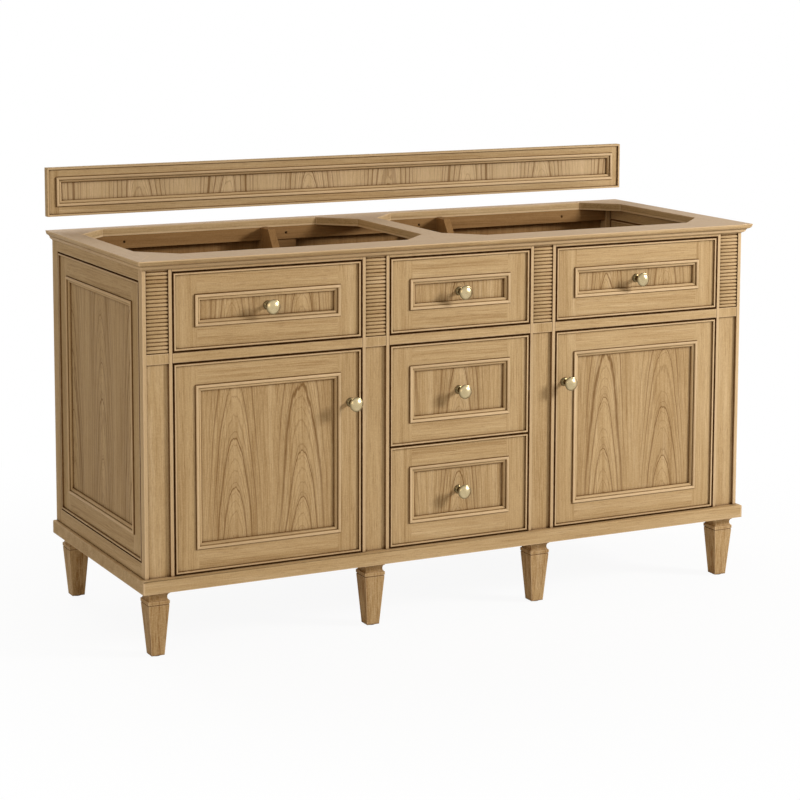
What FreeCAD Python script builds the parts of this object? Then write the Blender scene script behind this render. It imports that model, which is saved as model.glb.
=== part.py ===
"""Double-basin bathroom vanity base cabinet, without its stone top, and its separate wooden backsplash.

Millimetres, +Z up, front towards -Y, origin on the floor under the middle of the overall box.
The carcass stands on eight tapered legs. Four posts with reeded blocks part the front into three bays:
a tip-out front over a door in each basin bay, and three drawers in the middle bay.
A frame with a cornice edge and corner gussets closes the top, ready for the stone top.
"""
import FreeCAD
import Part
import math
import os
from FreeCAD import Vector

# Overall sizes
BODY_W = 1493.0              # across the outer faces of the corner posts
BODY_D = 575.0               # front plane to wall plane
TOP_Z = 846.0                # upper face of the top frame
LEG_H, BASE_H = 143.0, 29.0
TOP_T, CORNICE_H = 18.0, 22.0
CORNICE_FRONT, CORNICE_SIDE = 24.0, 15.5
BASE_FRONT, BASE_SIDE = 13.0, 9.0
STONE_T = 32.0               # stone top that goes between the frame and the backsplash

# Layout of the front
POST_W, POST_D = 66.0, 20.0
MID_BAY_W = 353.0            # opening between the centre posts
GAP = 3.0                    # line round every door and drawer front
TOP_RAIL_H, TIP_BAY_H = 10.0, 170.0
MID_RAIL_H, MID_RAIL_D = 22.0, 60.0

# Framed fronts: depths are counted back from the front's face
FRONT_T = 20.0
MOULD_EDGE = 48.0            # from the front's edge to the moulding
LIP_W = 4.5                  # raised lip round the edge of a front
FIELD_DEPTH = 4.0
MOULD_W, MOULD_LAP = 13.0, 6.0
PANEL_DEPTH, PANEL_T = 9.5, 6.0
TONGUE = 7.0                 # edge of the panel inside the frame's groove
FIT = 0.2                    # clearance in grooves and screw holes
SHOULDER_DEPTH = 6.0         # depth of the line round a fixed frame

# Posts
STRIP_W = 8.0                # raised strip down each side of a post
RECESS_DEPTH = 6.0
BLOCK_DEPTH = 0.7            # face of the plain blocks
REED_COUNT = 22
REED_VALLEY, REED_CREST = 4.4, 1.5

# Boards
BOARD = 18.0
REAR_POST_W, REAR_POST_D = 34.0, 35.0
BACK_T = 6.0
BASE_RAIL_W = 58.0
BASE_ROUND = 2.5
SIDE_RAIL_TOP_H, SIDE_RAIL_LOW_H = 27.0, 31.5
SIDE_T, SIDE_EDGE = 20.0, 47.0
BACK_STILE_W = 75.0
HORN_FRONT, HORN_REAR = 66.0, 40.0   # full-height ends of each partition
SCOOP_DROP, SCOOP_SLOPE = 88.0, 60.0 # cut-down middle of each partition
PIPE_W, PIPE_Z0, PIPE_Z1 = 260.0, 420.0, 620.0
PIPE_SIDE = 18.0             # from the partition to the plumbing cut-out

# Top frame
TOP_FRONT_IN, TOP_SIDE_IN = 64.0, 34.5   # inner edges, behind the body's faces
TOP_REAR_W = 30.0
TOP_CENTER_W = 50.0
GUSSET = 76.0
NAILER_H = 30.0
SCREW_R, SCREW_SPACING = 3.0, 406.4
BASIN_X = 381.0

# Legs
LEG_W, LEG_FOOT_W = 48.0, 29.5
LEG_INSET_X, LEG_INSET_Y = 16.5, 16.0
CAP_H, NECK_IN, COVE_H, COLLAR_H = 6.5, 4.0, 14.5, 7.6
GROOVE_H, GROOVE_IN = 1.8, 1.6
GLIDE_T, GLIDE_R = 2.0, 11.0

# Backsplash
SPLASH_H, SPLASH_T, SPLASH_EDGE = 111.0, 18.0, 22.0

# Knobs
KNOB_R, KNOB_H, STEM_R, FOOT_R, FOOT_T = 16.0, 38.0, 5.0, 9.5, 2.5
KNOB_RIM, CAP_RISE, NECK_H = 1.5, 5.5, 23.0
KNOB_DROP = 115.0            # door knob below the door's upper edge
STUD_R, NUT_R, NUT_T, STUD_END = 2.0, 5.0, 3.2, 0.5

# Pivots
PIN_R, PIN_CLEAR = 2.0, 0.06
PIN_EDGE, PIN_BACK = 10.0, 7.0       # pin axis from the front's edge, and behind its face
PIN_BITE, PIN_ROOT = 14.0, 7.0       # length in the front, and in the rail or post
WASHER_R, SEAT_GAP = 6.0, 0.3

# Drawers, slides, trays and catches
SLIDE_T, SLIDE_H, SLIDE_WALL = 12.7, 45.0, 1.5
SLIDE_CLEAR, SLIDE_BACK, SLIDE_RISE = 0.5, 1.0, 50.0
RUNNER_T, RUNNER_SHORT = 8.0, 10.0
SPACER_OVER = 4.0
BOX_REAR, SLIDE_SHORT = 61.0, 20.0   # behind each drawer box, and slide shorter than the box
BOX_BOARD, BOX_BOTTOM_T = 14.0, 6.0
BOX_UNDER, BOX_OVER, BOX_BOTTOM_RISE, BOX_GROOVE = 16.0, 30.0, 8.0, 6.0
TRAY_SIDE, TRAY_RISE, TRAY_D, TRAY_H, TRAY_T = 34.0, 28.0, 62.0, 80.0, 3.0
CATCH_W, CATCH_D, CATCH_H, CATCH_IN = 44.0, 18.0, 14.0, 10.0

# Derived places
BASE_Z0, BASE_Z1 = LEG_H, LEG_H + BASE_H
FRAME_Z0, CORNICE_Z = TOP_Z - TOP_T, TOP_Z - CORNICE_H
TOP_RAIL_Z0 = FRAME_Z0 - TOP_RAIL_H
MID_RAIL_Z1 = TOP_RAIL_Z0 - TIP_BAY_H
MID_RAIL_Z0 = MID_RAIL_Z1 - MID_RAIL_H
SCOOP_Z = FRAME_Z0 - SCOOP_DROP
KNOB_PROUD = KNOB_H - FIELD_DEPTH
FRONT = (KNOB_PROUD - BODY_D) / 2
WALL = FRONT + BODY_D
BACK_POST = FRONT + POST_D
BACK_FRONT = FRONT + FRONT_T
BOX_L = WALL - BACK_T - BOARD - BOX_REAR - BACK_FRONT
SLIDE_L = BOX_L - SLIDE_SHORT
HALF_W = BODY_W / 2
HALF_MID = MID_BAY_W / 2
BAY_X0, BAY_X1 = HALF_MID + POST_W, HALF_W - POST_W
PARTITION_X = BAY_X0 - BOARD
TOP_HALF = HALF_W + CORNICE_SIDE
BASE_HALF = HALF_W + BASE_SIDE
NAILER_Z = FRAME_Z0 - NAILER_H
DOOR_Z0, DOOR_Z1 = BASE_Z1 + GAP, MID_RAIL_Z0 - GAP
TIP_Z0, TIP_Z1 = MID_RAIL_Z1 + GAP, TOP_RAIL_Z0 - GAP
SPLIT_Z = (DOOR_Z0 + DOOR_Z1) / 2
PIN_Y = FRONT + PIN_BACK
SIDES = {"left": -1, "right": 1}

parts = {}


def add(node, *solids):
    parts.setdefault(node, []).extend(solids)


def block(x0, x1, y0, y1, z0, z1):
    return Part.makeBox(x1 - x0, y1 - y0, z1 - z0, Vector(x0, y0, z0))


def rod(radius, start, direction, length):
    return Part.makeCylinder(radius, length, Vector(*start), Vector(*direction))


def section(steps, at):
    """A flat face. A step (u, v) draws a line, and (mid u, mid v, u, v) draws an arc through its middle."""
    place = at(*steps[0])
    edges = []
    for step in steps[1:] + steps[:1]:
        target = at(*step[-2:])
        if len(step) == 4:
            edges.append(Part.Arc(place, at(*step[:2]), target).toShape())
        else:
            edges.append(Part.LineSegment(place, target).toShape())
        place = target
    return Part.Face(Part.Wire(edges))


def slab(plan, z0, z1):
    """A board with a straight-edged plan, given as (x, y) corners."""
    return section(plan, lambda x, y: Vector(x, y, z0)).extrude(Vector(0, 0, z1 - z0))


def for_side(shape, side):
    """A shape made for the right side, or its mirror image for the left one."""
    return shape if side > 0 else shape.mirror(Vector(0, 0, 0), Vector(1, 0, 0))


def moved(shapes, x, y, z):
    for shape in shapes:
        shape.translate(Vector(x, y, z))


def cut_by(shapes, tools):
    for tool in tools:
        shapes = [shape.cut(tool) for shape in shapes]
    return shapes


# ---------------------------------------------------------------- framed fronts
def split_frame(ring, width, height, frame_w):
    """Parts a ring into two full-height stiles and two rails between them."""
    far = width + height
    spans = [
        (-far, frame_w, -far, far),
        (width - frame_w, far, -far, far),
        (frame_w, width - frame_w, -far, frame_w),
        (frame_w, width - frame_w, height - frame_w, far),
    ]
    return [ring.common(block(x0, x1, -far, far, z0, z1)) for x0, x1, z0, z1 in spans]


def moulding(x0, x1, z0, z1):
    """Four mitred strips that cover the joint of frame and panel, with a rounded crest and an inner step."""
    profile = [
        (0, FIELD_DEPTH), (0, 1.6), (0.8, 0.4, 2.6, 0), (5.4, 0.4, 7.0, 1.8), (7.0, 3.6), (8.2, 3.6),
        (11.2, 4.2, MOULD_W, 6.4), (MOULD_W, PANEL_DEPTH),
        (MOULD_LAP, PANEL_DEPTH), (MOULD_LAP, FIELD_DEPTH),
    ]
    strips = []
    for near, inward, start, end, upright in (
        (z0, 1, x0, x1, False), (z1, -1, x0, x1, False), (x0, 1, z0, z1, True), (x1, -1, z0, z1, True),
    ):
        def at(across, depth, along=start):
            place = near + inward * across
            return Vector(place, depth, along) if upright else Vector(along, depth, place)
        bar = section(profile, at).extrude(at(0, 0, end) - at(0, 0, start))
        mitre = [(start, 0), (end, 0), (end - MOULD_W, MOULD_W), (start + MOULD_W, MOULD_W)]
        wedge = section(mitre, lambda along, across: at(across, -1, along))
        strips.append(bar.common(wedge.extrude(Vector(0, PANEL_DEPTH + 2, 0))))
    return strips


def framed_front(width, height, thick=FRONT_T, edge=MOULD_EDGE, shoulder=0.0):
    """Frame boards with their moulding, and the panel they hold. The face is y = 0, the corner x = z = 0."""
    ring = block(0, width, 0, thick, 0, height)
    if shoulder:
        ring = ring.fuse(block(-shoulder, width + shoulder, SHOULDER_DEPTH, thick,
                               -shoulder, height + shoulder)).removeSplitter()
    inner = edge + MOULD_LAP
    groove = inner - TONGUE - FIT
    ring = cut_by([ring], [
        block(LIP_W, width - LIP_W, -1, FIELD_DEPTH, LIP_W, height - LIP_W),
        block(inner, width - inner, -1, thick + 1, inner, height - inner),
        block(groove, width - groove, PANEL_DEPTH, PANEL_DEPTH + PANEL_T + FIT, groove, height - groove),
    ])[0]
    boards = split_frame(ring, width, height, inner)
    tongue = inner - TONGUE
    panel = block(tongue, width - tongue, PANEL_DEPTH, PANEL_DEPTH + PANEL_T, tongue, height - tongue)
    return boards + moulding(edge, width - edge, edge, height - edge), panel


def knob(x, z, seat, through):
    """A domed knob with its stud, and the nut behind the board that the stud passes."""
    cap_r = KNOB_R - KNOB_RIM
    sphere = (cap_r ** 2 + CAP_RISE ** 2) / (2 * CAP_RISE)
    turn = math.asin(cap_r / sphere) / 2
    rim = KNOB_H - CAP_RISE
    profile = [
        (0, 0), (FOOT_R, 0), (FOOT_R, -FOOT_T + 1), (FOOT_R - 1, -FOOT_T),
        (STEM_R + 1.2, -FOOT_T - 1.0, STEM_R, -FOOT_T - 4), (STEM_R, -NECK_H),
        (STEM_R + 3, -NECK_H - 3.8, cap_r, -rim + 2 * KNOB_RIM),
        (KNOB_R, -rim + KNOB_RIM, cap_r, -rim),
        (sphere * math.sin(turn), -KNOB_H + sphere * (1 - math.cos(turn)), 0, -KNOB_H),
    ]
    body = section(profile, lambda r, y: Vector(r, y, 0)).revolve(Vector(0, 0, 0), Vector(0, 1, 0), 360)
    stud = rod(STUD_R, (0, -1, 0), (0, 1, 0), 1 + through + NUT_T + STUD_END)
    nut = rod(NUT_R, (0, through, 0), (0, 1, 0), NUT_T).cut(rod(STUD_R + FIT / 4, (0, 0, 0), (0, 1, 0), 99))
    shapes = [body.fuse(stud), nut]
    moved(shapes, x, seat, z)
    return shapes


def add_front(name, side, x0, x1, z0, z1, knob_x, knob_z, depth, through, holes=()):
    """A framed front with its knob, in the place given for the right side."""
    boards, panel = framed_front(x1 - x0, z1 - z0)
    moved(boards + [panel], x0, FRONT, z0)
    holes = list(holes) + [rod(STUD_R + FIT, (knob_x, FRONT, knob_z), (0, 1, 0), FRONT_T + 1)]
    add(name + "_frame", *[for_side(b, side) for b in cut_by(boards, holes)])
    add(name + "_panel", *[for_side(p, side) for p in cut_by([panel], holes)])
    add(name + "_knob", *[for_side(k, side) for k in knob(knob_x, knob_z, FRONT + depth, through)])


# ---------------------------------------------------------------- posts
def front_post(x0):
    post = block(x0, x0 + POST_W, FRONT, BACK_POST, BASE_Z1, FRAME_Z0)
    return post.cut(block(x0 + STRIP_W, x0 + POST_W - STRIP_W, FRONT - 1, FRONT + RECESS_DEPTH,
                          BASE_Z1 - 1, FRAME_Z0 + 1))


def reeded_block(x0, x1):
    """A block of half-round reeds that run across the post."""
    pitch = (FRAME_Z0 - MID_RAIL_Z1) / REED_COUNT
    steps = [(RECESS_DEPTH, MID_RAIL_Z1), (REED_VALLEY, MID_RAIL_Z1)]
    for n in range(REED_COUNT):
        low = MID_RAIL_Z1 + n * pitch
        steps.append((REED_CREST, low + pitch / 2, REED_VALLEY, low + pitch))
    steps.append((RECESS_DEPTH, FRAME_Z0))
    return section(steps, lambda depth, z: Vector(x0, FRONT + depth, z)).extrude(Vector(x1 - x0, 0, 0))


posts = {("corner_posts", side): HALF_W - POST_W for side in SIDES.values()}
posts.update({("center_posts", side): HALF_MID for side in SIDES.values()})
tip_pin_z = TIP_Z0 + PIN_EDGE
for (node, side), x0 in posts.items():
    bay_x, away = (BAY_X1, 1) if node == "corner_posts" else (BAY_X0, -1)
    pin_hole = rod(PIN_R, (bay_x, PIN_Y, tip_pin_z), (away, 0, 0), PIN_ROOT)
    seat_x0, seat_x1 = x0 + STRIP_W, x0 + POST_W - STRIP_W
    plain = block(seat_x0, seat_x1, FRONT + BLOCK_DEPTH, FRONT + RECESS_DEPTH, MID_RAIL_Z0, MID_RAIL_Z1)
    pin = rod(PIN_R, (bay_x + away * PIN_ROOT, PIN_Y, tip_pin_z), (-away, 0, 0), PIN_ROOT + GAP + PIN_BITE)
    add(node, for_side(front_post(x0).cut(pin_hole), side))
    add("reeded_blocks", for_side(reeded_block(seat_x0, seat_x1), side))
    add("plain_blocks", for_side(plain, side))
    add("pivot_pins", for_side(pin, side))

# ---------------------------------------------------------------- sides
rear_y = WALL - REAR_POST_D
side_z0, side_z1 = BASE_Z1 + SIDE_RAIL_LOW_H, FRAME_Z0 - SIDE_RAIL_TOP_H
side_x = HALF_W - SIDE_T
for name, side in SIDES.items():
    add("rear_posts", for_side(block(HALF_W - REAR_POST_W, HALF_W, rear_y, WALL, BASE_Z1, FRAME_Z0), side))
    for z0, z1 in ((BASE_Z1, side_z0), (side_z1, FRAME_Z0)):
        add("side_rails", for_side(block(side_x, HALF_W, BACK_POST, rear_y, z0, z1), side))
    boards, panel = framed_front(rear_y - BACK_POST - 2 * GAP, side_z1 - side_z0 - 2 * GAP,
                                 SIDE_T, SIDE_EDGE, GAP)
    for shape in boards + [panel]:
        shape.rotate(Vector(0, 0, 0), Vector(0, 0, 1), 90)
    moved(boards + [panel], HALF_W, BACK_POST + GAP, side_z0 + GAP)
    add("side_%s_frame" % name, *[for_side(b, side) for b in boards])
    add("side_%s_panel" % name, for_side(panel, side))


# ---------------------------------------------------------------- boards with a shaped outer edge
def edged_rails(half, face_y, front_steps, side_steps, front_w, side_w, slope):
    """A front rail and a right-hand side rail that meet in a mitre of the given slope."""
    def at(across, z):
        return Vector(0, across, z)
    reach = side_w * slope
    low, high = 0.0, TOP_Z + 1
    plan = [(half, face_y), (half - side_w, face_y + reach)]
    if front_w > reach:
        plan.append((half - side_w, face_y + front_w))
    plan += [(-x, y) for x, y in reversed(plan)]
    front = section(front_steps, at).extrude(Vector(2 * half, 0, 0))
    front.translate(Vector(-half, face_y, 0))
    rail = section(side_steps, at).extrude(Vector(WALL - face_y, 0, 0))
    rail.rotate(Vector(0, 0, 0), Vector(0, 0, 1), 90)
    rail.translate(Vector(half, face_y, 0))
    side_plan = [(half, face_y), (half, WALL), (half - side_w, WALL), (half - side_w, face_y + reach)]
    return front.common(slab(plan, low, high)), rail.common(slab(side_plan, low, high))


def base_steps(width):
    """Section of a base rail with a soft upper edge."""
    soft = BASE_ROUND * (1 - 0.5 ** 0.5)
    return [
        (0, BASE_Z0), (0, BASE_Z1 - BASE_ROUND), (soft, BASE_Z1 - soft, BASE_ROUND, BASE_Z1),
        (width, BASE_Z1), (width, BASE_Z0),
    ]


def cornice_steps(out, width):
    """Section of a top rail: a square lip, a cove, a fillet and an ovolo that dies into the body."""
    def share(part):
        return out * part
    drop = TOP_Z - CORNICE_Z
    return [
        (0, TOP_Z), (0, TOP_Z - drop * 0.12), (share(0.05), TOP_Z - drop * 0.16),
        (share(0.20), TOP_Z - drop * 0.42, share(0.48), TOP_Z - drop * 0.52),
        (share(0.48), TOP_Z - drop * 0.60), (share(0.58), TOP_Z - drop * 0.60),
        (share(0.68), TOP_Z - drop * 0.84, share(0.92), CORNICE_Z + drop * 0.04), (share(0.92), CORNICE_Z),
        (out, CORNICE_Z), (out, FRAME_Z0), (width, FRAME_Z0), (width, TOP_Z),
    ]


front_rail, side_rail = edged_rails(BASE_HALF, FRONT - BASE_FRONT, base_steps(BASE_RAIL_W),
                                    base_steps(BASE_RAIL_W), BASE_RAIL_W, BASE_RAIL_W, 1.0)
base_in_x, base_in_y = BASE_HALF - BASE_RAIL_W, FRONT - BASE_FRONT + BASE_RAIL_W
add("base_rails", front_rail, *[for_side(side_rail, s) for s in SIDES.values()])
add("base_rails", block(-base_in_x, base_in_x, WALL - BASE_RAIL_W, WALL, BASE_Z0, BASE_Z1))
add("bottom_board", block(-base_in_x, base_in_x, base_in_y, WALL - BASE_RAIL_W, BASE_Z1 - BOARD, BASE_Z1))

top_front_w, top_side_w = CORNICE_FRONT + TOP_FRONT_IN, CORNICE_SIDE + TOP_SIDE_IN
front_rail, side_rail = edged_rails(
    TOP_HALF, FRONT - CORNICE_FRONT, cornice_steps(CORNICE_FRONT, top_front_w),
    cornice_steps(CORNICE_SIDE, top_side_w), top_front_w, top_side_w, CORNICE_FRONT / CORNICE_SIDE)
add("top_rail_front", front_rail)
add("top_rails_side", *[for_side(side_rail, s) for s in SIDES.values()])
open_x0, open_x1 = TOP_CENTER_W / 2, HALF_W - TOP_SIDE_IN
open_y0, open_y1 = FRONT + TOP_FRONT_IN, WALL - TOP_REAR_W
add("top_rail_rear", block(-open_x1, open_x1, open_y1, WALL, FRAME_Z0, TOP_Z))
add("top_rail_center", block(-open_x0, open_x0, open_y0, open_y1, FRAME_Z0, TOP_Z))
for side in SIDES.values():
    for x, dx in ((open_x0, 1), (open_x1, -1)):
        for y, dy in ((open_y0, 1), (open_y1, -1)):
            corner = [(x, y), (x + dx * GUSSET, y), (x, y + dy * GUSSET)]
            add("top_gussets", for_side(slab(corner, FRAME_Z0, TOP_Z), side))


# ---------------------------------------------------------------- legs
def leg(x, y):
    """A square tapered leg with a coved neck and a collar: one profile, cut from two sides."""
    half, z0 = LEG_W / 2, BASE_Z0 - CAP_H
    z1 = z0 - COVE_H
    z2 = z1 - COLLAR_H
    right = [
        (half, BASE_Z0), (half, z0), (half - 1.5, z0),
        (half - NECK_IN, z0 - COVE_H * 0.55, half - 1.5, z1), (half, z1), (half, z2),
        (half - GROOVE_IN, z2), (half - GROOVE_IN, z2 - GROOVE_H), (half - 0.4, z2 - GROOVE_H),
        (LEG_FOOT_W / 2, GLIDE_T),
    ]
    steps = list(right)
    places = [step[-2:] for step in right]
    for n in reversed(range(len(right))):
        if n + 1 < len(right) and len(right[n + 1]) == 4:
            mid_u, mid_v = right[n + 1][:2]
            steps.append((-mid_u, mid_v, -places[n][0], places[n][1]))
        else:
            steps.append((-places[n][0], places[n][1]))
    along_y = section(steps, lambda u, z: Vector(u, -half, z)).extrude(Vector(0, LEG_W, 0))
    along_x = section(steps, lambda u, z: Vector(-half, u, z)).extrude(Vector(LEG_W, 0, 0))
    shape = along_y.common(along_x)
    shape.translate(Vector(x, y, 0))
    return shape


leg_xs = (BASE_HALF - LEG_INSET_X - LEG_W / 2, HALF_MID + POST_W / 2)
leg_ys = {
    "front_legs": FRONT - BASE_FRONT + LEG_INSET_Y + LEG_W / 2,
    "rear_legs": WALL - LEG_INSET_Y - LEG_W / 2,
}
for node, y in leg_ys.items():
    for x in leg_xs:
        for side in SIDES.values():
            add(node, leg(side * x, y))
            add("leg_glides", rod(GLIDE_R, (side * x, y, 0), (0, 0, 1), GLIDE_T))

# ---------------------------------------------------------------- partitions and back
horn_y0, horn_y1 = BACK_POST + HORN_FRONT, open_y1 - HORN_REAR
partition_outline = [
    (BACK_POST, BASE_Z1), (WALL - BACK_T, BASE_Z1), (WALL - BACK_T, NAILER_Z), (open_y1, NAILER_Z),
    (open_y1, FRAME_Z0), (horn_y1, FRAME_Z0), (horn_y1 - SCOOP_SLOPE, SCOOP_Z),
    (horn_y0 + SCOOP_SLOPE, SCOOP_Z), (horn_y0, FRAME_Z0), (BACK_POST, FRAME_Z0),
]
back_x = HALF_W - REAR_POST_W
nailer = block(-back_x, back_x, open_y1, WALL, NAILER_Z, FRAME_Z0)
back = block(-back_x, back_x, WALL - BACK_T, WALL, BASE_Z1, NAILER_Z)
for name, side in SIDES.items():
    board = section(partition_outline, lambda y, z: Vector(PARTITION_X, y, z)).extrude(Vector(BOARD, 0, 0))
    add("partition_" + name, for_side(board, side))
    add("back_frame", for_side(block(PARTITION_X - BACK_STILE_W, PARTITION_X, WALL - BACK_T - BOARD,
                                     WALL - BACK_T, BASE_Z1, NAILER_Z), side))
    pipe_x0 = BAY_X0 + PIPE_SIDE
    back = back.cut(for_side(block(pipe_x0, pipe_x0 + PIPE_W, WALL - BACK_T - 1, WALL + 1,
                                   PIPE_Z0, PIPE_Z1), side))
    for x in (BASIN_X - SCREW_SPACING / 2, BASIN_X + SCREW_SPACING / 2):
        nailer = nailer.cut(rod(SCREW_R, (side * x, open_y1 - 1, NAILER_Z + NAILER_H / 2),
                                (0, 1, 0), TOP_REAR_W + 2))
add("back_frame", nailer)
add("back_panel", back)

# ---------------------------------------------------------------- rails between the fronts
door_pin_x = BAY_X1 - GAP - PIN_EDGE
add("front_rails", block(-HALF_MID, HALF_MID, FRONT, FRONT + MID_RAIL_D, MID_RAIL_Z0, MID_RAIL_Z1))
add("front_rails", block(-HALF_MID, HALF_MID, FRONT, BACK_POST, TOP_RAIL_Z0, FRAME_Z0))
for side in SIDES.values():
    post_gap = block(BAY_X0, BAY_X1, BACK_POST, FRONT + MID_RAIL_D, MID_RAIL_Z0, MID_RAIL_Z1)
    rail = block(BAY_X0, BAY_X1, FRONT, BACK_POST, MID_RAIL_Z0, MID_RAIL_Z1).fuse(post_gap).removeSplitter()
    rail = rail.cut(rod(PIN_R, (door_pin_x, PIN_Y, MID_RAIL_Z0), (0, 0, 1), PIN_ROOT))
    add("front_rails", for_side(rail, side))
    add("front_rails", for_side(block(BAY_X0, BAY_X1, FRONT, BACK_POST, TOP_RAIL_Z0, FRAME_Z0), side))

# ---------------------------------------------------------------- doors and tip-out fronts
front_x0, front_x1 = BAY_X0 + GAP, BAY_X1 - GAP
hole_r = PIN_R + PIN_CLEAR
hole_l = GAP + PIN_BITE + 1
for name, side in SIDES.items():
    holes = [
        rod(hole_r, (door_pin_x, PIN_Y, BASE_Z1), (0, 0, 1), hole_l),
        rod(hole_r, (door_pin_x, PIN_Y, MID_RAIL_Z0), (0, 0, -1), hole_l),
    ]
    add_front("door_" + name, side, front_x0, front_x1, DOOR_Z0, DOOR_Z1, front_x0 + MOULD_EDGE / 2,
              DOOR_Z1 - KNOB_DROP, FIELD_DEPTH, FRONT_T - FIELD_DEPTH, holes)
    foot_pin = rod(PIN_R, (door_pin_x, PIN_Y, BASE_Z1), (0, 0, 1), GAP + PIN_BITE)
    washer = rod(WASHER_R, (door_pin_x, PIN_Y, BASE_Z1), (0, 0, 1), GAP - SEAT_GAP)
    head_pin = rod(PIN_R, (door_pin_x, PIN_Y, MID_RAIL_Z0 + PIN_ROOT), (0, 0, -1), PIN_ROOT + GAP + PIN_BITE)
    add("pivot_pins", for_side(foot_pin.fuse(washer), side), for_side(head_pin, side))

    holes = [
        rod(hole_r, (BAY_X0, PIN_Y, tip_pin_z), (1, 0, 0), hole_l),
        rod(hole_r, (BAY_X1, PIN_Y, tip_pin_z), (-1, 0, 0), hole_l),
    ]
    add_front("tip_out_" + name, side, front_x0, front_x1, TIP_Z0, TIP_Z1, (BAY_X0 + BAY_X1) / 2,
              (TIP_Z0 + TIP_Z1) / 2, PANEL_DEPTH, PANEL_T, holes)
    x0, x1 = BAY_X0 + TRAY_SIDE, BAY_X1 - TRAY_SIDE
    y0, z0 = BACK_FRONT, TIP_Z0 + TRAY_RISE
    tray = block(x0, x1, y0, y0 + TRAY_D, z0, z0 + TRAY_H)
    tray = tray.cut(block(x0 + TRAY_T, x1 - TRAY_T, y0 + TRAY_T, y0 + TRAY_D - TRAY_T,
                          z0 + TRAY_T, z0 + TRAY_H + 1))
    add("tip_out_%s_tray" % name, for_side(tray, side))

    catch_x, catch_y = front_x0 + CATCH_IN, BACK_FRONT + SEAT_GAP
    add("door_catches", for_side(block(catch_x, catch_x + CATCH_W, catch_y, catch_y + CATCH_D,
                                       MID_RAIL_Z0 - CATCH_H, MID_RAIL_Z0), side))

# ---------------------------------------------------------------- drawers and their slides
DRAWERS = {
    "top": (TIP_Z0, TIP_Z1),
    "middle": (SPLIT_Z + GAP / 2, DOOR_Z1),
    "bottom": (DOOR_Z0, SPLIT_Z - GAP / 2),
}
front_half = HALF_MID - GAP
box_x = HALF_MID - SLIDE_T - SLIDE_CLEAR
slide_y0 = max(BACK_POST, BACK_FRONT) + SLIDE_BACK
for name, (z0, z1) in DRAWERS.items():
    add_front("drawer_" + name, 1, -front_half, front_half, z0, z1, 0, (z0 + z1) / 2, PANEL_DEPTH, PANEL_T)
    low, high = z0 + BOX_UNDER, z1 - BOX_OVER
    y0, y1 = BACK_FRONT, BACK_FRONT + BOX_L
    inner = box_x - BOX_BOARD
    reach, y_in = inner + BOX_GROOVE, BOX_BOARD - BOX_GROOVE
    bottom_z0, bottom_z1 = low + BOX_BOTTOM_RISE, low + BOX_BOTTOM_RISE + BOX_BOTTOM_T
    groove = block(-reach, reach, y0 + y_in, y1 - y_in, bottom_z0, bottom_z1)
    walls = [
        block(-box_x, -inner, y0, y1, low, high),
        block(inner, box_x, y0, y1, low, high),
        block(-inner, inner, y0, y0 + BOX_BOARD, low, high),
        block(-inner, inner, y1 - BOX_BOARD, y1, low, high),
    ]
    add("drawer_%s_box" % name, *cut_by(walls, [groove]))
    add("drawer_%s_box" % name, block(-reach + FIT, reach - FIT, y0 + y_in + FIT, y1 - y_in - FIT,
                                      bottom_z0, bottom_z1))
    slide_z0, slide_z1 = low + SLIDE_RISE - SLIDE_H / 2, low + SLIDE_RISE + SLIDE_H / 2
    for side in SIDES.values():
        channel = block(HALF_MID - SLIDE_T, HALF_MID, slide_y0, slide_y0 + SLIDE_L, slide_z0, slide_z1)
        channel = channel.cut(block(HALF_MID - SLIDE_T - 1, HALF_MID - SLIDE_WALL, slide_y0 - 1,
                                    slide_y0 + SLIDE_L + 1, slide_z0 + SLIDE_WALL, slide_z1 - SLIDE_WALL))
        runner_in = SLIDE_WALL + SEAT_GAP
        runner = block(box_x, box_x + RUNNER_T, slide_y0, slide_y0 + SLIDE_L - RUNNER_SHORT,
                       slide_z0 + runner_in, slide_z1 - runner_in)
        spacer = block(HALF_MID, PARTITION_X, slide_y0, slide_y0 + SLIDE_L,
                       slide_z0 - SPACER_OVER, slide_z1 + SPACER_OVER)
        add("slide_channels", for_side(channel, side))
        add("drawer_%s_runners" % name, for_side(runner, side))
        add("slide_spacers", for_side(spacer, side))

# ---------------------------------------------------------------- backsplash
boards, panel = framed_front(2 * TOP_HALF, SPLASH_H, SPLASH_T, SPLASH_EDGE)
moved(boards + [panel], -TOP_HALF, WALL - SPLASH_T, TOP_Z + STONE_T)
add("backsplash_frame", *boards)
add("backsplash_panel", panel)

# ---------------------------------------------------------------- files
os.makedirs("parts", exist_ok=True)
for node, shapes in parts.items():
    solids = [solid for shape in shapes for solid in shape.Solids]
    if not all(solid.isValid() for solid in solids):
        print("not a valid solid in", node)
    shape = solids[0] if len(solids) == 1 else Part.makeCompound(solids)
    shape.exportStep("parts/%s.step" % node)
print(len(parts), "nodes,", sum(len(shape.Solids) for shapes in parts.values() for shape in shapes), "solids")
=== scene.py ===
import math
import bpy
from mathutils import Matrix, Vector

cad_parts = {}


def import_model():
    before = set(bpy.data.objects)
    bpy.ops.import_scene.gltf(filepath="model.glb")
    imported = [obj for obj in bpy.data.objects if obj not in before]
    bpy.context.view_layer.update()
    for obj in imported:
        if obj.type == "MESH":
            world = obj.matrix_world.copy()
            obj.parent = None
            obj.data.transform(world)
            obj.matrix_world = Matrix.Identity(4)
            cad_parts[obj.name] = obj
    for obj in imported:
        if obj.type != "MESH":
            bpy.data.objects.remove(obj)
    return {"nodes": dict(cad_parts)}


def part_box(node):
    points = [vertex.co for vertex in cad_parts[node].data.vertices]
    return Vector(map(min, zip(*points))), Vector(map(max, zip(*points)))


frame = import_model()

import zlib

import bpy
from mathutils import Euler, Vector

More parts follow.
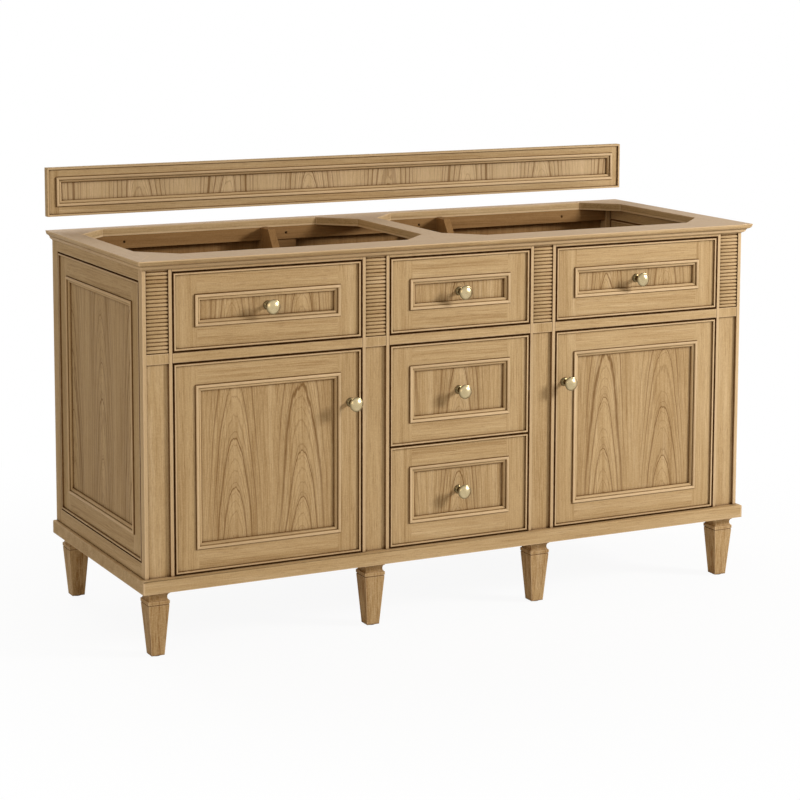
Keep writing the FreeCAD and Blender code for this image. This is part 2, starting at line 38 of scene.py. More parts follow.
for spare in ("Cube", "Light", "Camera"):
    if spare in bpy.data.objects:
        bpy.data.objects.remove(bpy.data.objects[spare])
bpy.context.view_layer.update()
nodes = frame["nodes"]

# Sizes of the joinery, in metres, as the model has them
FRONT_EDGE, SIDE_EDGE, SPLASH_EDGE = 0.048, 0.047, 0.022   # frame boards outside the moulding
MOULD_LAP, MOULD_W, MOULD_STEP = 0.006, 0.013, 0.007       # moulding: over the frame, whole, to its step
LIP_W, TONGUE, SIDE_SHOULDER = 0.0045, 0.007, 0.003
POST_W, STRIP_W = 0.066, 0.008
RAIL_H, TOP_RAIL_H = 0.022, 0.010
CAP_DEPTH, CAP_FADE = 0.009, 0.003                         # knob cap, and how softly the painted shade on the neck begins behind it

# Rounding of the edges, and where painted shade lies along the gaps
EDGE_ROUND, JOINT_ROUND, SHARP = 0.0007, 0.0002, math.radians(32)
WELD_REACH = 0.00001                # corners nearer to each other than this are one
# Gap line: painted shade in the gaps between parts, kept near the front face
GAP_EDGE, GAP_DEPTH, GAP_SHADE = 0.0012, 0.004, 0.92
GAP_SOFT = 0.0002
OUTSIDE = -0.02                     # where the outline of a front starts, beyond its edge
# Reach of the painted shade in corners and grooves, and of the pale edges, partly wear and partly painted
# highlight
SHADE_REACH, WORN_LIT_REACH = 0.0090, 0.0030
CORNERS, REED_CORNERS, LEG_CORNERS = (0.34, 0.84), (0.44, 0.94), (0.40, 0.90)   # openness below which painted shade, partly glaze, darkens the wood

# Straight grain: waves per metre along and across the board, and detail
STREAKS, HAIRS, PORES = (1.7, 57.0, 3.0), (7.0, 390.0, 2.0), (38.0, 610.0, 1.0)
FIBRE_ROUGH = 0.55
BEND_WAVES, BEND, LEAN = (2.3, 4.1), 0.012, 0.013          # how the grain strays from the board's length
PORE_RANGE = (0.56, 0.74)
# Flat-sawn veneer: growth rings and the taper of the trunk they are cut from
GOLDEN = 0.618                      # spreads columns evenly
RING, FINE_RINGS, CONE = 0.0084, 4.0, 0.075
HEART, STAGGER = 0.034, 0.017       # depth of the cut from the heart, and how it differs by column
SWAY, RAGGED, UNEVEN = 0.16, 0.20, 1.6
SWAY_WAVES, RAGGED_WAVES, UNEVEN_WAVES = (3.1, 3.7), (17.0, 130.0), 95.0
LEAST_SLOPE, LINE_STRENGTH = 0.06, 0.88
# Ramps, here and below: from and to, and the value at each where there are four numbers
RING_LINE, FINE_LINE = (0.05, 0.19, 1.0, 0.0), (0.02, 0.15, 0.45, 0.0)
LATE_WOOD = (0.5, 1.0, 0.20, 0.0)   # soft shade after each ring line
COLUMN_FADE = (0.20, 0.47, 1.0, 0.20)
# How strongly the grain shows, and the satin finish over it
DARK_TONES, LIGHT_TONES = (0.33, 0.51), (0.49, 0.70)
PATCH_WAVES, FLECK_WAVES, BAND_NOISE_WAVES = 3.2, 300.0, 90.0
PATCHES, DARK_FLECKS, PALE_FLECKS = (0.35, 0.70, 0.0, 0.25), (0.36, 0.64, 0.0, 0.16), (0.34, 0.56, 0.16, 0.0)
# Noise for how unevenly the painted highlights and painted shade lie
BAND_NOISE_RANGE = (0.2, 0.7, 0.80, 1.0)
# Pale edges: partly wear, partly painted highlight
WORN_LIT_RANGE = (0.50, 0.98)
PORE_DEPTH, LINE_DEPTH = 0.26, 0.74
SHEEN, PORE_ROUGH = 0.035, 0.16
GRAIN_RELIEF, GRAIN_BUMP = 0.00035, 0.6
TONE_HEIGHT, PORE_HEIGHT, LINE_HEIGHT = 0.5, 0.6, 0.5      # shares of that relief
BOARD_SHIFT, JOINED_SHIFT = 0.05, 0.04                     # difference of tone between pieces
# Stripes of painted highlight on the crests and painted shade, partly glaze, in the grooves: start and end
# from the edge, in metres, and strength
LIP_CREST = (GAP_EDGE, LIP_W - 0.0006, 0.52)
LIP_GROOVE = (LIP_W - 0.0002, LIP_W + 0.0010, 0.55)
OUTER_CREST = (0.0005, MOULD_STEP - 0.0012, 0.66)          # these four are from the moulding's outer edge
INNER_CREST = (MOULD_STEP + 0.0016, MOULD_W - 0.0008, 0.20)
OUTER_GROOVE = (-0.0014, 0.0002, 0.75)
STEP_GROOVE = (MOULD_STEP - 0.0004, MOULD_STEP + 0.0008, 0.50)
STRIP_CREST = (-0.01, STRIP_W - 0.0015, 0.42)              # a start below 0 covers what lies beyond the edge
STRIP_GROOVE = (STRIP_W - 0.0002, STRIP_W + 0.0010, 0.55)
GAP_LINE = (-0.001, GAP_EDGE, GAP_SHADE, GAP_SOFT)
PANEL_COVERED = MOULD_W - MOULD_LAP + TONGUE
PANEL_LINE = (-0.01, PANEL_COVERED + 0.0010, 0.80)
PANEL_SHADE = (-0.01, PANEL_COVERED + 0.0050, 0.18, 0.0035)
# On the cornice they are measured down from its upper face
CORNICE_CRESTS = ((-0.01, 0.0028, 0.40), (0.0136, 0.0200, 0.50))
CORNICE_GROOVE = (0.0112, 0.0130, 0.20)
TOP_LIGHT_SHARE, FACING_UP, TOP_SKIN = 0.62, 0.9, 0.001           # painted light on the upper face, and where that face is
# Metal and plastic: ramps of painted shade and roughness, waves per metre of their textures, and relief in
# metres
KNOB_RIM = (0.70, 0.98, 0.0, 0.72)  # painted shade at the rim, over the share of the cap's radius
# Painted shade on the neck and foot, behind the cap
KNOB_NECK = (CAP_DEPTH, CAP_DEPTH + CAP_FADE, 0.0, 0.86)
# Painted shade in the knob's hollows, by openness
KNOB_HOLLOWS, KNOB_REACH = (0.30, 0.95, 0.70, 0.0), 0.012
# Painted shade on the pins where they are hidden, by openness
PIN_HOLLOWS, PIN_REACH = (0.50, 0.94, 0.92, 0.0), 0.030
KNOB_ROUGH, PIN_ROUGH = (0.3, 0.7, 0.22, 0.30), (0.3, 0.7, 0.45, 0.60)
ZINC_ROUGH, PLASTIC_ROUGH = (0.3, 0.7, 0.30, 0.45), (0.3, 0.7, 0.48, 0.60)
KNOB_CLOUD, KNOB_DENTS, KNOB_RELIEF = 80.0, 260.0, 0.00012
PIN_CLOUD, PIN_DENTS, PIN_RELIEF = 120.0, 900.0, 0.00004
ZINC_CLOUD, SPANGLE, SPANGLE_GAIN = 60.0, 160.0, 1.2
PLASTIC_CLOUD, PLASTIC_GRAIN, PLASTIC_RELIEF = 25.0, 1400.0, 0.00005
# Width of one column of arches in the doors, the sides and the backsplash
DOOR_REPEAT, SIDE_REPEAT, SPLASH_REPEAT = 0.157, 0.190, 0.215

# Colours, as linear values
OAK_DARK = (0.376, 0.238, 0.108)
OAK_MID = (0.508, 0.348, 0.176)
OAK_LIGHT = (0.625, 0.455, 0.262)
OAK = (OAK_DARK, OAK_MID, OAK_LIGHT)
LEG_DARK, LEG_MID = (0.240, 0.118, 0.038), (0.480, 0.318, 0.150)
LINE = (0.160, 0.074, 0.021)
# Painted shade, partly a dark glaze, for corners, grooves and gaps
GLAZE_AND_SHADE = (0.085, 0.028, 0.003)
# Pale oak: painted highlight on crests and edges, and the palest tone of the backsplash veneer
PALE_OAK_AND_HIGHLIGHT = (0.700, 0.510, 0.310)
# Painted light on the upper face of the top
TOP_PAINTED_LIGHT = (0.530, 0.415, 0.335)
INNER = ((0.220, 0.115, 0.042), (0.290, 0.160, 0.062), (0.345, 0.200, 0.084))
BOX = ((0.430, 0.300, 0.165), (0.560, 0.420, 0.260), (0.640, 0.510, 0.340))
CHAMPAGNE_DARK, CHAMPAGNE_LIGHT = (0.42, 0.32, 0.16), (0.70, 0.57, 0.34)
# Painted shade on the knobs
CHAMPAGNE_SHADE = (0.110, 0.075, 0.028)
# The dark bronze is also the painted shade where the pins are hidden
BRONZE_DARK, BRONZE_LIGHT = (0.040, 0.026, 0.014), (0.075, 0.050, 0.028)
ZINC_DARK, ZINC_LIGHT = (0.46, 0.47, 0.48), (0.66, 0.67, 0.68)
GREY_PLASTIC = (0.045, 0.045, 0.043), (0.070, 0.070, 0.066)
WHITE_PLASTIC = (0.72, 0.71, 0.68), (0.80, 0.79, 0.76)

# Studio, in metres, watts and degrees
LENS, SHIFT_Y = 102.8, -0.2
CAMERA_PLACE, CAMERA_TURN = (-2.383, -4.6455, 1.475), (90 - 7.19, -0.15, -27.0)
AIM = (0.0, 0.0, 0.45)
WHITE = (1.0, 1.0, 1.0)
LAMPS = (                           # name, place, power, size, colour
    ("key", (4.0, -3.0, 2.5), 240.0, 1.1, WHITE),
    ("fill", (-3.8, -3.0, 2.2), 42.0, 2.6, (1.0, 0.87, 0.69)),
    ("rear", (-0.6, 3.4, 2.8), 60.0, 2.0, WHITE),
)
WORLD_LIGHT, WORLD_TINT = 0.28, (1.0, 0.925, 0.80)
FLOOR_HALF, FLOOR_GREY = 40.0, (0.86, 0.86, 0.86)
SHADOW_END, WHITE_START, SHADOW_VEIL = 0.6, 1.7, 0.93      # shadow shows through the veil near the object


# ------------------------------------------------------------ node helpers
class Shader:
    """Short names for building one material's nodes."""

    def __init__(self, name):
        self.mat = bpy.data.materials.new(name)
        self.mat.use_nodes = True
        self.tree = self.mat.node_tree
        self.bsdf = self.tree.nodes["Principled BSDF"]

    def new(self, kind, **settings):
        node = self.tree.nodes.new("ShaderNode" + kind)
        for key, value in settings.items():
            setattr(node, key, value)
        return node

    def feed(self, socket, value):
        if isinstance(value, bpy.types.NodeSocket):
            self.tree.links.new(value, socket)
        else:
            socket.default_value = value

    def math(self, operation, a, b=0.0, c=0.0, clamp=False):
        node = self.new("Math", operation=operation, use_clamp=clamp)
        for socket, value in zip(node.inputs, (a, b, c)):
            self.feed(socket, value)
        return node.outputs[0]

    def ramp(self, value, low_in, high_in, low_out=0.0, high_out=1.0):
        node = self.new("MapRange", interpolation_type="SMOOTHSTEP")
        for socket, number in zip(node.inputs, (value, low_in, high_in, low_out, high_out)):
            self.feed(socket, number)
        return node.outputs[0]

    def mix(self, factor, a, b, blend="MIX"):
        node = self.new("Mix", data_type="RGBA", blend_type=blend)
        self.feed(node.inputs["Factor"], factor)
        for socket, value in ((node.inputs[6], a), (node.inputs[7], b)):
            self.feed(socket, (*value, 1.0) if isinstance(value, tuple) else value)
        return node.outputs[2]

    def blend_number(self, factor, a, b):
        node = self.new("Mix", data_type="FLOAT")
        for socket, value in zip((node.inputs[0], node.inputs[2], node.inputs[3]), (factor, a, b)):
            self.feed(socket, value)
        return node.outputs[0]

    def vector(self, x, y, z):
        node = self.new("CombineXYZ")
        for socket, value in zip(node.inputs, (x, y, z)):
            self.feed(socket, value)
        return node.outputs[0]

    def most(self, first, *others):
        for other in others:
            first = self.math("MAXIMUM", first, other)
        return first

    def hypotenuse(self, a, b):
        return self.math("SQRT", self.math("ADD", self.math("MULTIPLY", a, a), self.math("MULTIPLY", b, b)))

    def noise(self, vector, scale, detail=3.0, roughness=0.5, distortion=0.0):
        node = self.new("TexNoise")
        self.feed(node.inputs["Vector"], vector)
        for name, value in (("Scale", scale), ("Detail", detail), ("Roughness", roughness),
                            ("Distortion", distortion)):
            node.inputs[name].default_value = value
        return node.outputs["Fac"]

    def grain_noise(self, along, across, third, waves, detail, roughness=0.5):
        """Noise stretched along the grain; waves per metre along and across it."""
        spot = self.vector(self.math("MULTIPLY", along, waves[0]), self.math("MULTIPLY", across, waves[1]),
                           third)
        return self.noise(spot, 1.0, detail, roughness)

    def place(self):
        """Object coordinates as three numbers."""
        split = self.new("SeparateXYZ")
        self.feed(split.inputs[0], self.new("TexCoord").outputs["Object"])
        return split.outputs

    def nearness(self, distance, inside=False):
        """How open a point is: 1 on a free surface, less where surfaces come within distance."""
        node = self.new("AmbientOcclusion", inside=inside, samples=8)
        node.inputs["Distance"].default_value = distance
        return node.outputs["AO"]

    def bump(self, height, distance, strength=1.0):
        node = self.new("Bump")
        self.feed(node.inputs["Height"], height)
        node.inputs["Distance"].default_value = distance
        node.inputs["Strength"].default_value = strength
        self.feed(self.bsdf.inputs["Normal"], node.outputs[0])


# ------------------------------------------------------------ wood
def straight_grain(sh, along, across, deep, seed):
    """Straight grain as (tone, pores): soft streaks, fine lines and short dark pores along the board."""
    bend = sh.grain_noise(along, across, seed, BEND_WAVES, 2.0)
    lean = sh.math("ADD", sh.math("MULTIPLY", along, LEAN), sh.math("MULTIPLY", bend, BEND))
    across, deep = sh.math("ADD", across, lean), sh.math("ADD", deep, lean)

    def fibres(length, width, detail):
        depth = sh.math("ADD", sh.math("MULTIPLY", deep, width), seed)
        return sh.grain_noise(along, across, depth, (length, width), detail, FIBRE_ROUGH)
    streak, hair, pore = fibres(*STREAKS), fibres(*HAIRS), fibres(*PORES)
    tone = sh.math("ADD", sh.math("MULTIPLY", streak, 0.5), sh.math("MULTIPLY", hair, 0.5))
    return tone, sh.ramp(pore, *PORE_RANGE)


def cathedral_grain(sh, along, across, deep, seed, repeat, phase):
    """Flat-sawn veneer as (tone, pores, lines): nested arches in columns, straight grain between."""
    wander = sh.grain_noise(along, across, seed, SWAY_WAVES, 2.0)
    count = sh.math("ADD", sh.math("DIVIDE", across, repeat), phase + seed)
    count = sh.math("ADD", count, sh.math("MULTIPLY", sh.math("SUBTRACT", wander, 0.5), SWAY))
    turn = sh.math("SUBTRACT", sh.math("FRACT", count), 0.5)
    column = sh.math("FRACT", sh.math("MULTIPLY", sh.math("FLOOR", count), GOLDEN))
    side = sh.math("MULTIPLY", turn, repeat)
    depth = sh.math("ADD", sh.math("MULTIPLY", along, CONE), sh.math("MULTIPLY", column, STAGGER))
    depth = sh.math("ADD", depth, HEART)
    radius = sh.hypotenuse(side, depth)
    ragged = sh.grain_noise(along, across, seed, RAGGED_WAVES, 3.0, 0.6)
    uneven = sh.noise(sh.vector(sh.math("MULTIPLY", radius, UNEVEN_WAVES), seed, column), 1.0, 1.0)
    rings = sh.math("ADD", sh.math("DIVIDE", radius, RING), sh.math("MULTIPLY", ragged, RAGGED))
    rings = sh.math("ADD", rings, sh.math("MULTIPLY", uneven, UNEVEN))
    rise = sh.math("MULTIPLY", depth, CONE)
    slope = sh.math("ADD", sh.math("DIVIDE", sh.hypotenuse(side, rise), radius), LEAST_SLOPE)

    def line(number, per_ring, edges):
        away = sh.math("ABSOLUTE", sh.math("SUBTRACT", number, 0.5))
        return sh.ramp(sh.math("DIVIDE", away, sh.math("MULTIPLY", slope, per_ring)), *edges)
    ring, fine = sh.math("FRACT", rings), sh.math("FRACT", sh.math("MULTIPLY", rings, FINE_RINGS))
    sharp = sh.math("MAXIMUM", line(ring, 1.0, RING_LINE), line(fine, FINE_RINGS, FINE_LINE))
    broad = sh.math("MULTIPLY", sh.ramp(ring, *LATE_WOOD), sh.math("GREATER_THAN", ring, LATE_WOOD[0]))
    middle = sh.ramp(sh.math("ABSOLUTE", turn), *COLUMN_FADE)
    lines = sh.math("MULTIPLY", sh.math("ADD", sh.math("MULTIPLY", sharp, LINE_STRENGTH), broad), middle)
    tone, pores = straight_grain(sh, along, across, deep, seed)
    return tone, pores, lines


def finish_wood(sh, tone, pores, colours, shift, glaze=1.0, rough=0.5, edges=0.6,
                corners=CORNERS, pale=None, lines=None, bands=None):
    """Turns grain into a satin wood: painted shade, partly a dark glazing, in corners and grooves; painted
    highlights on crests; edges paler, partly from wear and partly as painted highlight.
    """
    dark, mid, light = colours
    tone = sh.math("ADD", tone, shift)
    base = sh.mix(sh.ramp(tone, *DARK_TONES), dark, mid)
    base = sh.mix(sh.ramp(tone, *LIGHT_TONES), base, light)
    place = sh.new("TexCoord").outputs["Object"]
    patch, fleck = sh.noise(place, PATCH_WAVES, 2.0), sh.noise(place, FLECK_WAVES, 2.0, 0.6)
    base = sh.mix(sh.ramp(patch, *PATCHES), base, dark)
    base = sh.mix(sh.ramp(fleck, *DARK_FLECKS), base, dark)
    base = sh.mix(sh.ramp(fleck, *PALE_FLECKS), base, light)
    # Painted light on upper faces
    if pale is not None:
        base = sh.mix(pale, base, TOP_PAINTED_LIGHT)
    base = sh.mix(sh.math("MULTIPLY", pores, PORE_DEPTH), base, LINE)
    if lines is not None:
        base = sh.mix(sh.math("MULTIPLY", lines, LINE_DEPTH), base, LINE)
    # Pale convex edges: partly wear, partly painted highlight
    if edges:
        worn_and_lit = sh.ramp(sh.nearness(WORN_LIT_REACH, inside=True), *WORN_LIT_RANGE, edges, 0.0)
        base = sh.mix(worn_and_lit, base, PALE_OAK_AND_HIGHLIGHT)
    if glaze:
        # Uneven strength for the painted highlights and painted shade
        band_noise = sh.ramp(sh.noise(place, BAND_NOISE_WAVES, 3.0), *BAND_NOISE_RANGE)
        # Painted highlights on crests, painted shade, partly glaze, in grooves and gaps
        if bands is not None:
            crests, grooves = bands
            base = sh.mix(sh.math("MULTIPLY", crests, band_noise), base, PALE_OAK_AND_HIGHLIGHT)
            base = sh.mix(sh.math("MULTIPLY", grooves, band_noise), base, GLAZE_AND_SHADE)
        # Painted shade, partly glaze, in corners, by openness
        corner = sh.ramp(sh.nearness(SHADE_REACH), *corners, glaze, 0.0)
        base = sh.mix(sh.math("MULTIPLY", corner, band_noise), base, GLAZE_AND_SHADE)
        rough = sh.math("ADD", sh.math("MULTIPLY", corner, 1.0 - rough), rough, clamp=True)
    sh.feed(sh.bsdf.inputs["Base Color"], base)
    rough = sh.math("ADD", sh.math("MULTIPLY", pores, PORE_ROUGH), rough, clamp=True)
    sh.feed(sh.bsdf.inputs["Roughness"], rough)
    sh.bsdf.inputs["Specular IOR Level"].default_value = SHEEN
    height = sh.math("SUBTRACT", sh.math("MULTIPLY", tone, TONE_HEIGHT),
                     sh.math("MULTIPLY", pores, PORE_HEIGHT))
    if lines is not None:
        height = sh.math("SUBTRACT", height, sh.math("MULTIPLY", lines, LINE_HEIGHT))
    sh.bump(height, GRAIN_RELIEF, GRAIN_BUMP)
    return sh.mat


def tone_of(name):
    """A steady small difference of tone and a place in the tree for each piece, from its name."""
    number = zlib.crc32(name.encode())
    return (number % 97) / 97.0 - 0.5, (number % 991) / 13.0


def board_wood(name, grain, colours=OAK, **finish):
    """Boards whose grain runs along one axis."""
    sh = Shader(name)
    x, y, z = sh.place()
    order = {"x": (x, z, y), "y": (y, z, x), "z": (z, x, y)}[grain]
    shift, seed = tone_of(name)
    tone, pores = straight_grain(sh, *order, seed)
    return finish_wood(sh, tone, pores, colours, shift * BOARD_SHIFT, **finish)


def band(sh, value, start, end, strength, soft=0.0005):
    """A stripe between two distances, with soft edges."""
    rise = sh.ramp(value, start - soft, start + soft)
    return sh.math("MULTIPLY", rise, sh.ramp(value, end - soft, end + soft, strength, 0.0))


def from_edge(sh, value, lower, upper):
    """How far a coordinate lies inside a span."""
    return sh.math("SUBTRACT", (upper - lower) / 2,
                   sh.math("ABSOLUTE", sh.math("SUBTRACT", value, (lower + upper) / 2)))


def frame_wood(name, node, edge, flat, shoulder=0.0, gap=GAP_SHADE):
    """A frame of stiles and rails with mitred moulding: the grain follows each piece; painted highlights lie
    on the crests and painted shade in the grooves and the gap.
    """
    sh = Shader(name)
    x, y, z = sh.place()
    near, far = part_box(node)
    axis = 0 if flat == "x" else 1
    span, deep = (x, y) if flat == "x" else (y, x)
    side_in = from_edge(sh, span, near[axis] + shoulder, far[axis] - shoulder)
    end_in = from_edge(sh, z, near[2] + shoulder, far[2] - shoulder)
    rail = sh.math("MULTIPLY", sh.math("GREATER_THAN", side_in, edge + MOULD_LAP),
                   sh.math("LESS_THAN", end_in, side_in))
    inward = sh.math("MINIMUM", side_in, end_in)
    on_mould = sh.math("SUBTRACT", inward, edge)
    # Painted highlights on the crests and painted shade in the grooves
    crests = sh.most(band(sh, inward, *LIP_CREST), band(sh, on_mould, *OUTER_CREST),
                     band(sh, on_mould, *INNER_CREST))
    grooves = sh.most(band(sh, inward, *LIP_GROOVE), band(sh, on_mould, *OUTER_GROOVE),
                      band(sh, on_mould, *STEP_GROOVE))
    # Painted shade in the gap round the front
    if gap:
        outline = band(sh, inward, OUTSIDE, GAP_EDGE, gap, GAP_SOFT)
        if flat == "x":
            face = sh.ramp(sh.math("SUBTRACT", deep, near[1]), GAP_DEPTH, GAP_DEPTH * 2, 1.0, 0.0)
            outline = sh.math("MULTIPLY", outline, face)
        grooves = sh.most(grooves, outline)
    shift, seed = tone_of(name)
    upright, upright_pores = straight_grain(sh, z, span, deep, seed)
    level, level_pores = straight_grain(sh, span, z, deep, seed + 7.3)
    tone = sh.blend_number(rail, upright, level)
    pores = sh.blend_number(rail, upright_pores, level_pores)
    return finish_wood(sh, tone, pores, OAK, shift * JOINED_SHIFT, edges=0.0, bands=(crests, grooves))


def post_wood(name, node):
    """Front posts: raised strips down both sides with painted highlight, and painted shade along their inner
    edges and the gaps.
    """
    sh = Shader(name)
    x, y, z = sh.place()
    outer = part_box(node)[1][0]
    across = sh.math("ABSOLUTE", x)
    inward = from_edge(sh, across, outer - POST_W, outer)
    from_gap = inward if node == "center_posts" else sh.math("SUBTRACT", across, outer - POST_W)
    bands = (band(sh, inward, *STRIP_CREST),
             sh.most(band(sh, inward, *STRIP_GROOVE), band(sh, from_gap, *GAP_LINE)))
    shift, seed = tone_of(name)
    tone, pores = straight_grain(sh, z, x, y, seed)
    return finish_wood(sh, tone, pores, OAK, shift * JOINED_SHIFT, edges=0.75, bands=bands)


def rail_wood(name, node):
    """Rails between the fronts, with painted shade along the gaps."""
    sh = Shader(name)
    x, y, z = sh.place()
    near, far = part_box(node)
    middle_rail = from_edge(sh, z, near[2], near[2] + RAIL_H)
    top_rail = sh.math("SUBTRACT", z, far[2] - TOP_RAIL_H)
    grooves = sh.most(band(sh, middle_rail, *GAP_LINE), band(sh, top_rail, *GAP_LINE))
    shift, seed = tone_of(name)
    tone, pores = straight_grain(sh, x, z, y, seed)
    return finish_wood(sh, tone, pores, OAK, shift * JOINED_SHIFT, bands=(0.0, grooves))


def panel_wood(name, node, flat, repeat, phase=0.0, colours=OAK):
    """A veneered panel with its columns of arches, and painted shade along the moulding."""
    sh = Shader(name)
    x, y, z = sh.place()
    near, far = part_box(node)
    axis = 0 if flat == "x" else 1
    across, deep = (x, y) if flat == "x" else (y, x)
    shift, seed = tone_of(name)
    inward = sh.math("MINIMUM", from_edge(sh, across, near[axis], far[axis]),
                     from_edge(sh, z, near[2], far[2]))
    grooves = sh.most(band(sh, inward, *PANEL_LINE), band(sh, inward, *PANEL_SHADE))
    across = sh.math("SUBTRACT", across, (near[axis] + far[axis]) / 2)
    along = sh.math("SUBTRACT", z, near[2])
    tone, pores, lines = cathedral_grain(sh, along, across, deep, round(seed), repeat, phase)
    return finish_wood(sh, tone, pores, colours, shift * JOINED_SHIFT, lines=lines, bands=(0.0, grooves))


def top_wood(name, node, grain):
    """Top frame boards: painted highlights and shade on the moulded edge; the upper face painted paler, as
    light falling from above.
    """
    sh = Shader(name)
    x, y, z = sh.place()
    top_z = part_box(node)[1][2]
    order = {"x": (x, z, y), "y": (y, z, x)}[grain]
    order_top = {"x": (x, y, z), "y": (y, x, z)}[grain]
    _, seed = tone_of(name)
    up = sh.new("SeparateXYZ")
    sh.feed(up.inputs[0], sh.new("NewGeometry").outputs["True Normal"])
    flat = sh.math("MULTIPLY", sh.math("GREATER_THAN", up.outputs[2], FACING_UP),
                   sh.math("GREATER_THAN", z, top_z - TOP_SKIN))
    edge_tone, edge_pores = straight_grain(sh, *order, seed)
    top_tone, top_pores = straight_grain(sh, *order_top, seed)
    tone = sh.blend_number(flat, edge_tone, top_tone)
    pores = sh.blend_number(flat, edge_pores, top_pores)
    down = sh.math("SUBTRACT", top_z, z)
    bands = (sh.most(*(band(sh, down, *crest) for crest in CORNICE_CRESTS)),
             band(sh, down, *CORNICE_GROOVE))
    return finish_wood(sh, tone, pores, OAK, 0.0, pale=sh.math("MULTIPLY", flat, TOP_LIGHT_SHARE), bands=bands)


# ------------------------------------------------------------ metal and plastic
def dark_bronze():
    """Satin bronze of the pins, with painted shade where they are hidden."""
    sh = Shader("dark_bronze")
    place = sh.new("TexCoord").outputs["Object"]
    cloud = sh.noise(place, PIN_CLOUD, 3.0)
    # Painted shade where the pins are hidden
    hidden = sh.ramp(sh.nearness(PIN_REACH), *PIN_HOLLOWS)
    sh.feed(sh.bsdf.inputs["Base Color"],
            sh.mix(hidden, sh.mix(cloud, BRONZE_DARK, BRONZE_LIGHT), BRONZE_DARK))
    sh.bsdf.inputs["Metallic"].default_value = 1.0
    sh.feed(sh.bsdf.inputs["Roughness"], sh.ramp(cloud, *PIN_ROUGH))
    sh.bump(sh.noise(place, PIN_DENTS, 2.0), PIN_RELIEF, 0.5)
    return sh.mat


def knob_metal(node):
    """Satin champagne metal, with painted shade on the neck, the foot and the rim of the cap, and in its
    hollows.
    """
    near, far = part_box(node)
    sh = Shader(node + "_metal")
    x, y, z = sh.place()
    place = sh.new("TexCoord").outputs["Object"]
    cloud = sh.noise(place, KNOB_CLOUD, 3.0)
    base = sh.mix(cloud, CHAMPAGNE_DARK, CHAMPAGNE_LIGHT)
    x, z = (sh.math("SUBTRACT", v, (near[i] + far[i]) / 2) for i, v in ((0, x), (2, z)))
    radius = sh.math("DIVIDE", sh.hypotenuse(x, z), (far[2] - near[2]) / 2)
    behind = sh.math("SUBTRACT", y, near[1])
    # Painted shade at the rim, on the neck and foot, and in hollows
    base = sh.mix(sh.ramp(radius, *KNOB_RIM), base, CHAMPAGNE_SHADE)
    base = sh.mix(sh.ramp(behind, *KNOB_NECK), base, CHAMPAGNE_SHADE)
    base = sh.mix(sh.ramp(sh.nearness(KNOB_REACH), *KNOB_HOLLOWS), base, CHAMPAGNE_SHADE)
    sh.feed(sh.bsdf.inputs["Base Color"], base)
    sh.bsdf.inputs["Metallic"].default_value = 1.0
    sh.feed(sh.bsdf.inputs["Roughness"], sh.ramp(cloud, *KNOB_ROUGH))
    sh.bump(sh.noise(place, KNOB_DENTS, 3.0), KNOB_RELIEF, 0.6)
    return sh.mat


def zinc_steel():
    """Zinc-plated steel of the drawer slides, with its spangle."""
    sh = Shader("zinc_steel")
    place = sh.new("TexCoord").outputs["Object"]
    spangle = sh.new("TexVoronoi", feature="F1")
    sh.feed(spangle.inputs["Vector"], place)
    spangle.inputs["Scale"].default_value = SPANGLE
    value = sh.math("MULTIPLY", spangle.outputs["Distance"], SPANGLE_GAIN, clamp=True)
    sh.feed(sh.bsdf.inputs["Base Color"], sh.mix(value, ZINC_DARK, ZINC_LIGHT))
    sh.bsdf.inputs["Metallic"].default_value = 1.0
    sh.feed(sh.bsdf.inputs["Roughness"], sh.ramp(sh.noise(place, ZINC_CLOUD), *ZINC_ROUGH))
    return sh.mat


def plastic(name, dark, light):
    """Moulded plastic with a fine matt grain."""
    sh = Shader(name)
    place = sh.new("TexCoord").outputs["Object"]
    sh.feed(sh.bsdf.inputs["Base Color"], sh.mix(sh.noise(place, PLASTIC_CLOUD), dark, light))
    grain = sh.noise(place, PLASTIC_GRAIN, 2.0)
    sh.feed(sh.bsdf.inputs["Roughness"], sh.ramp(grain, *PLASTIC_ROUGH))
    sh.bump(grain, PLASTIC_RELIEF, 0.4)
    return sh.mat


